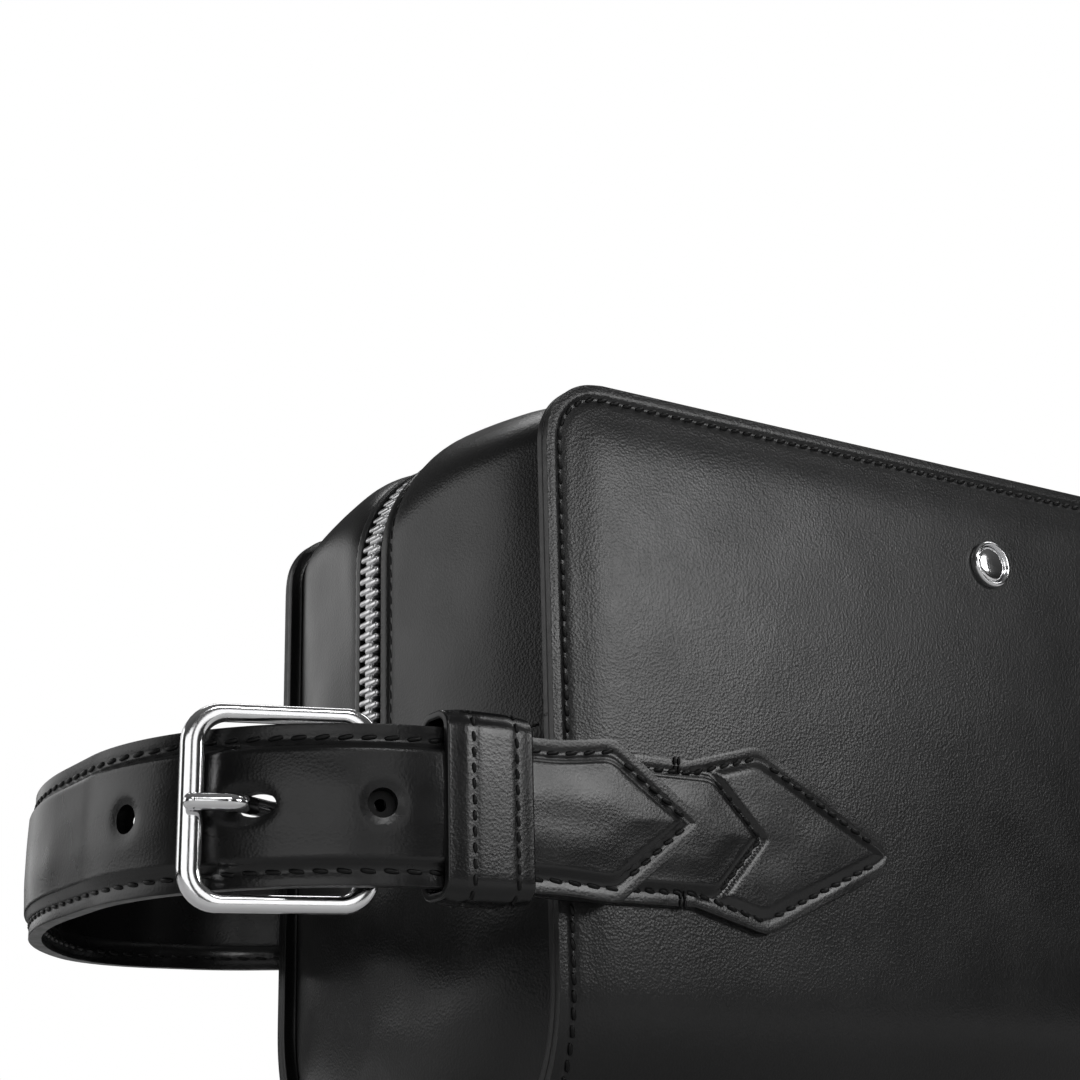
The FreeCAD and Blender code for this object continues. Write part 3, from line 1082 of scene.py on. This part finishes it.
tab = {
    "tipX": -34.6,
    "head": 28.8,           # tip to the broadest place
    "neck": 43.8,           # tip to where the neck starts
    "broad": 16.5,
    "tipRadius": 4.4,
    "face": halfDepth + 2.0,
    "thick": 1.6,
    "chevron": 30.4,        # tip to the point of the padding
    "endX": -119.0,
}


def tabHead(s):
    return slopeHalf(s, tab["head"], tab["broad"], tab["tipRadius"])


def tabNeck(s):
    fall = (tab["broad"] - handle["half"]) / (tab["neck"] - tab["head"])
    return max(handle["half"], tab["broad"] - (s - tab["head"]) * fall)


def tabHalf(s):
    return max(0.01, softMin(tabHead(s), tabNeck(s), 1.6))


def chevronInside(s, v):
    half = handle["half"] - handle["border"]
    long = 9.2
    slope = ((s - tab["chevron"]) * half - long * abs(v)) / hypot(half, long)
    return softMin(half - abs(v), slope, 1.2)


def tabHeight(s, v):
    d = softMin((tabHead(s) - abs(v)) * 0.87, tabNeck(s) - abs(v), 1.2)
    inside = chevronInside(s, v)
    h = 0.30 * smooth01((d - 2.6) / 1.6) * (1 - smooth01((inside + 1.8) / 0.8))
    h += 1.05 * smooth01((inside + 0.5) / 1.2) + 0.2 * smooth01((inside - 1) / 5)
    h -= 0.14 * hump(d, handle["stitchIn"], 0.5)
    h -= 0.22 * exp(-(((inside + 1.0) / 0.5) ** 2)) * (1 if s < tab["neck"] else 0)
    h += wave(s * 0.1, v * 0.15, 4.2) * 0.10
    return h


def tabShift(s):
    return -1.0 * (1 - smooth01(s / tab["head"]))


def tabTrack(side):
    def at(s):
        x = tab["tipX"] - s
        return Vector((x, side * tab["face"], handle["middle"])), Vector((-1, 0, 0)), Vector((0, side, 0))
    return at


tabColumns = between(-1, 1, 56)


def makeTab(name, side, endX):
    length = tab["tipX"] - endX
    return ribbonPiece(name, tabTrack(side), length, tabHalf, tabHeight, tab["thick"], 0.6, tabColumns, tabShift)


def makeChapeWrap():
    chapeFace = strapLow.y + handle["thick"] + 0.1
    turn = -chapeFace + turnY
    heelSide = (heel - Vector((handle["turnX"], turnY, heel.z))).length
    around = turn - heelSide
    moves = [("line", 120.0 + handle["turnX"] + 10.0, 0), ("arc", turn, 19.8),
             ("arc", around, 190.0), ("line", 6.5, 0)]
    track, length = trackFrom((handle["turnX"] + 5.0, chapeFace), pi, moves)

    def half(s):
        return handle["half"] - 3.0 * smooth01((s - 6) / 9)

    def height(s, v):
        return -0.05

    columns = between(-1, 1, 16)
    piece = ribbonPiece("chapeWrap", track, length, half, height, 1.7, 0.7, columns)
    bm = bmesh.new()
    bmesh.ops.create_cube(bm, size=1)
    for vert in bm.verts:
        x, y, z = vert.co
        vert.co = Vector((heel.x - 2.0 + x * 15, heel.y + y * 20, handle["middle"] + z * 5.4)) * mm
    return cutWith(piece, [pieceFrom(bm, "notch", [edgePaint])])


handlePieces = ((makeStrap(), "handle_strap"), (makeTab("chapeTab", -1, tab["endX"]), "chape_tab"),
                (makeTab("handleTab", 1, -100.0), "handle_tab"), (makeChapeWrap(), "chape_strap"))
for piece, node in handlePieces:
    rigid(piece, node, "root")
print("handle made")


def keeperTrack():
    low = Vector((0, keeperLow.y, keeperLow.z))
    high = Vector((0, keeperHigh.y, keeperHigh.z + 1.2))
    r = 3.2
    points = []
    corners = [(high.y - r, low.z + r, -90), (high.y - r, high.z - r, 0),
               (low.y + r, high.z - r, 90), (low.y + r, low.z + r, 180)]
    for cy, cz, start in corners:
        for k in range(9):
            a = radians(start + 90 * k / 8)
            n = Vector((0, cos(a), sin(a)))
            points.append((Vector((0, cy, cz)) + n * r, n))
    full = []
    for (p, n), (q, m) in zip(points, points[1:] + points[:1]):
        gap = (q - p).length
        count = max(1, int(gap / 1.2))
        for k in range(count):
            t = k / count
            full.append((p.lerp(q, t), n.lerp(m, t).normalized()))
    full.append(full[0])
    return full


keeperLines = (-3.4, 4.6)    # stitch lines along the keeper, from its middle


def keeperHeight(x):
    half = (keeperHigh.x - keeperLow.x) / 2
    d = half - abs(x)
    groove = sum(0.12 * hump(x, line, 0.6) for line in keeperLines)
    return 0.45 * smooth01(d / 4.5) - groove


def makeKeeper():
    loop = keeperTrack()
    middle = (keeperLow.x + keeperHigh.x) / 2
    half = (keeperHigh.x - keeperLow.x) / 2
    xs = fromEdges(half, [0, 0.4, 0.9, 1.6, 2.4, 2.9, 3.4, 3.9, 4.6, 5.3, 6.2], 8)

    def place(x, k):
        p, n = loop[int(k)]
        return Vector((middle + x, p.y, p.z)) + n * keeperHeight(x)

    def outward(p):
        return Vector((0, p.y - (keeperLow.y + keeperHigh.y) / 2, (p.z - handle["middle"]) * 0.35))

    return leatherSheet("keeperLoop", xs, list(range(len(loop))), place, outward, 1.35, 0.35,
                        [calfStrap, edgePaint])


keeper = makeKeeper()
rigid(keeper, "keeper_loop", "keeper")
print("keeper made")


buckle = {"half": 14.7, "wireIn": 1.9, "wireOut": 1.7, "heelCorner": 4.0, "barCorner": 5.0, "square": 3.2}


def bendPoint(radius, angle):
    a = radians(angle)
    return Vector((handle["turnX"] + radius * cos(a), turnY + radius * sin(a), handle["middle"]))


def makeBuckle():
    bar = bendPoint(48.6, 216.0)
    start = Vector((heel.x, heel.y, handle["middle"]))
    along = (bar - start).normalized()
    span = (bar - start).length
    normal = along.cross(up)
    loop = []
    half, atBar, atHeel = buckle["half"], buckle["barCorner"], buckle["heelCorner"]
    for cx, cz, r, begin in ((span - atBar, half - atBar, atBar, 0), (atHeel, half - atHeel, atHeel, 90),
                             (atHeel, -half + atHeel, atHeel, 180), (span - atBar, -half + atBar, atBar, 270)):
        for k in range(11):
            a = radians(begin + 9 * k)
            n = along * cos(a) + up * sin(a)
            loop.append((start + along * cx + up * cz + n * r, n))
    loop.append(loop[0])
    around = between(0, 2 * pi, 28)

    def place(a, k):
        p, n = loop[int(k)]
        power = 2 / buckle["square"]
        c = copysign(abs(cos(a)) ** power, cos(a))
        d = copysign(abs(sin(a)) ** power, sin(a))
        return p + n * c * (1.35 + (buckle["wireIn"] - 1.35) * abs(n.dot(along))) + normal * d * buckle["wireOut"]

    bm = gridMesh(around, list(range(len(loop))), place, lambda p: Vector((0, 0, 0)))
    bmesh.ops.recalc_face_normals(bm, faces=bm.faces)
    return pieceFrom(bm, "buckleFrame", [polishMat])


def makeTongue():
    points = [Vector((heel.x, heel.y, handle["middle"])), bendPoint(39.4, 229.0), bendPoint(48.6, 225.0),
              bendPoint(51.8, 218.4)]
    rounded = [points[0], points[1].lerp(points[0], 0.3), points[1], points[1].lerp(points[2], 0.35),
               points[2].lerp(points[1], 0.35), points[2], points[2].lerp(points[3], 0.4), points[3]]
    curve = bpy.data.curves.new("pin", "CURVE")
    curve.dimensions = "3D"
    curve.bevel_depth = 1.4 * mm
    curve.bevel_resolution = 6
    curve.use_fill_caps = True
    line = curve.splines.new("NURBS")
    line.points.add(len(rounded) - 1)
    for k, p in enumerate(rounded):
        line.points[k].co = (*(p * mm), 1)
        line.points[k].radius = 1.0 if k < len(rounded) - 1 else 0.92
    line.order_u = 3
    line.use_endpoint_u = True
    line.resolution_u = 10
    holder = newObject("pin", curve)
    bpy.context.view_layer.update()
    mesh = bpy.data.meshes.new_from_object(holder.evaluated_get(bpy.context.evaluated_depsgraph_get()))
    bpy.data.objects.remove(holder)
    bm = bmesh.new()
    bm.from_mesh(mesh)
    tip = bmesh.ops.create_uvsphere(bm, u_segments=20, v_segments=12, radius=1.36 * mm)
    bmesh.ops.translate(bm, verts=tip["verts"], vec=points[-1] * mm)
    ring = []
    knuckle = bmesh.new()
    for r, z in ((1.9, -2.2), (3.1, -2.2), (3.4, -1.9), (3.4, 1.9), (3.1, 2.2), (1.9, 2.2)):
        ring.append(knuckle.verts.new((points[0] + Vector((r, 0, z))) * mm))
    edges = [knuckle.edges.new((a, b)) for a, b in zip(ring, ring[1:] + ring[:1])]
    bmesh.ops.spin(knuckle, geom=ring + edges, cent=points[0] * mm, axis=(0, 0, 1), angle=2 * pi,
                   steps=32, use_merge=True)
    bmesh.ops.recalc_face_normals(knuckle, faces=knuckle.faces)
    pour(knuckle, bm)
    return pieceFrom(bm, "buckleTongue", [polishMat])


buckleRing = makeBuckle()
rigid(buckleRing, "buckle_frame", "buckle")
tongue = makeTongue()
rigid(tongue, "buckle_tongue", "tongue")
print("buckle made")


def spun(name, profile, material, centre, axis):
    # profile: (radius, height) pairs turned round the axis
    bm = bmesh.new()
    side = Vector((1, 0, 0))
    verts = [bm.verts.new((centre + side * r + axis * h) * mm) for r, h in profile]
    edges = [bm.edges.new((a, b)) for a, b in zip(verts, verts[1:])]
    bmesh.ops.spin(bm, geom=verts + edges, cent=centre * mm, axis=axis, angle=2 * pi, steps=56, use_merge=True)
    bmesh.ops.remove_doubles(bm, verts=bm.verts, dist=0.00001)
    bmesh.ops.recalc_face_normals(bm, faces=bm.faces)
    return pieceFrom(bm, name, [material])


discLow, discHigh = boxMm("stud_disc")
studCentre = Vector(((discLow.x + discHigh.x) / 2, -halfDepth, (discLow.z + discHigh.z) / 2))
discProfile = [(0, 1.75), (1.6, 1.70), (2.9, 1.58), (3.5, 1.42), (3.72, 1.1), (3.72, -0.2), (0, -0.2)]
rimProfile = [(3.78, 1.0), (3.85, 1.75), (4.0, 2.0), (4.3, 2.05), (4.6, 1.85), (4.75, 1.4), (4.75, 0.0),
              (3.78, 0.0), (3.78, 1.0)]
disc = spun("studDisc", discProfile, polishMat, studCentre, Vector((0, -1, 0)))
rimRing = spun("studRim", rimProfile, polishMat, studCentre, Vector((0, -1, 0)))
for piece, node in ((disc, "stud_disc"), (rimRing, "stud_rim")):
    rigid(piece, node, "front_flap")
print("stud made")


def panelSeam():
    inset = bag["stitchIn"]
    samples = []
    r = bag["panelRadius"]
    for w in between(0, trackTop - r, 120):
        samples.append((-(halfWidth - inset), w))
    for k in range(1, 13):
        a = pi / 2 * k / 12
        samples.append((-(halfWidth - r) - (r - inset) * cos(a), trackTop - r + (r - inset) * sin(a)))
    half = samples + [(0.0, trackTop - inset)]
    return half + [(-x, w) for x, w in reversed(half[:-1])]


# pitch, length and thickness of the stitches
sizes = {
    "lip": (2.75, 2.15, 0.95),
    "zip": (2.6, 2.0, 0.5),
    "end": (2.75, 2.1, 0.55),
    "tip": (3.0, 2.2, 0.95),
    "strap": (handle["pitch"], 2.5, 0.9),
    "under": (handle["pitch"], 2.4, 0.7),
    "tab": (2.9, 2.1, 0.95),
    "chevron": (2.7, 2.0, 0.9),
    "tack": (1.5, 1.5, 0.6),
    "keeper": (2.5, 1.7, 0.75),
}


def sewPanel(side):
    gather = bmesh.new()
    samples = []
    for x, w in panelSeam():
        p = panelPoint(x, w)
        n = frontTrack(w)[2]
        samples.append((Vector((p.x, p.y * -side, max(p.z, 0.5))), Vector((0, n.y * -side, n.z))))
    sewAlong(gather, samples, *sizes["lip"], 0.25 * -side, -0.05)
    line = []
    for s in archSteps():
        p = gussetPoint((7.0, ("roll", 0.0)), s, gussetFoot)
        n = archPoint(*gussetSize(7.0), s, gussetFoot)[2]
        line.append((Vector((p.x, p.y * -side, p.z)), n))
    sewAlong(gather, line, *sizes["zip"], 0.1, -0.02, 9.0)
    return pieceFrom(gather, "stitching" + sideName[side], [threadAndHoleShade])


for side in (-1, 1):
    seam = sewPanel(side)
    bendWithMouth(seam)


def edgeSeam(track, halfAt, heightAt, inset, first, last, sign, shiftAt=None, lean=1.0):
    samples = []
    for s in between(first, last, int((last - first) / 0.8)):
        v = sign * (halfAt(s) - inset / lean)
        p, _, out = track(s)
        shift = shiftAt(s) if shiftAt else 0.0
        samples.append((p + up * (v + shift) + out * heightAt(s, v), out))
    return samples


def sewHandle():
    gather = bmesh.new()
    inset = handle["stitchIn"]
    for sign in (-1, 1):
        shape = (strapTrack, strapHalf, strapHeight, inset)
        tip = edgeSeam(*shape, 2.6, handle["point"] - 0.4, sign, strapShift, 0.78)
        long = edgeSeam(*shape, handle["point"] - 0.3, strapLength - 12, sign, strapShift)
        sewAlong(gather, tip, *sizes["tip"], 0.15 * sign)
        sewAlong(gather, long, *sizes["strap"], 0.14 * sign)
        under = [(p - n * (handle["thick"]), -n) for p, n in long]
        sewAlong(gather, under, *sizes["under"], 0.12 * sign)
        for side in (-1, 1):
            track = tabTrack(side)
            head = edgeSeam(track, tabHalf, tabHeight, inset, 3.4, tab["head"] - 0.5, sign, tabShift, 0.87)
            sewAlong(gather, head, *sizes["tab"], 0.2 * sign)
            neck = edgeSeam(track, tabHalf, tabHeight, inset, tab["head"] + 0.5, 72, sign, tabShift)
            sewAlong(gather, neck, *sizes["tab"], 0.2 * sign)
            slope = []
            half = handle["half"] - handle["border"]
            for k in range(24):
                t = k / 23
                s = tab["chevron"] - 1.1 + 10.0 * t
                v = sign * half * 1.06 * t
                p, _, out = track(s)
                slope.append((p + up * (v + tabShift(s)) + out * tabHeight(s, v), out))
            sewAlong(gather, slope, *sizes["chevron"], 0.15 * sign)
            for dv in (-0.5, 0.5):
                bar = []
                s = tab["neck"] + 3.0 + dv * 0.9
                for k in range(6):
                    v = sign * (tabHalf(s) - 2.6 + 0.62 * k)
                    p, _, out = track(s)
                    bar.append((p + up * v + out * (tabHeight(s, v) + 0.12), out))
                sewAlong(gather, bar, *sizes["tack"], 0.0)
    return pieceFrom(gather, "stitchingHandle", [threadAndHoleShade])


def sewKeeper():
    gather = bmesh.new()
    loop = keeperTrack()
    middle = (keeperLow.x + keeperHigh.x) / 2
    for line in keeperLines:
        samples = [(Vector((middle + line, p.y, p.z)) + n * keeperHeight(line), n) for p, n in loop]
        sewAlong(gather, samples, *sizes["keeper"], 0.15)
    return pieceFrom(gather, "stitchingKeeper", [threadAndHoleShade])


def sewEnds():
    gather = bmesh.new()
    for sign in (-1, 1):
        samples = []
        for y in between(-46, 46, 60):
            x = gussetSize(y)[0]
            samples.append((Vector((sign * x, y, gussetFoot + 2.8)), Vector((sign, 0, 0))))
        sewAlong(gather, samples, *sizes["end"], 0.12)
    return pieceFrom(gather, "stitchingEnds", [threadAndHoleShade])


for seam, slot, body in ((sewHandle(), "strap_leather", "root"), (sewKeeper(), "strap_leather", "keeper"),
                         (sewEnds(), "leather", "root")):
    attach(seam, body)
print("stitching made")


nodes = frame["nodes"]
for node, material in (("zip_stop_left", toothMat), ("zip_stop_right", toothMat), ("slider_left", toothMat),
                       ("slider_right", toothMat), ("pull_left", polishMat), ("pull_right", polishMat),
                       ("stud_washer", toothMat), ("base_board", boardMat)):
    for slot in nodes[node].material_slots:
        slot.material = material

floorMesh = bmesh.new()
bmesh.ops.create_grid(floorMesh, x_segments=1, y_segments=1, size=1.5)
floor = pieceFrom(floorMesh, "floor", [makeFloorPaint()], False)
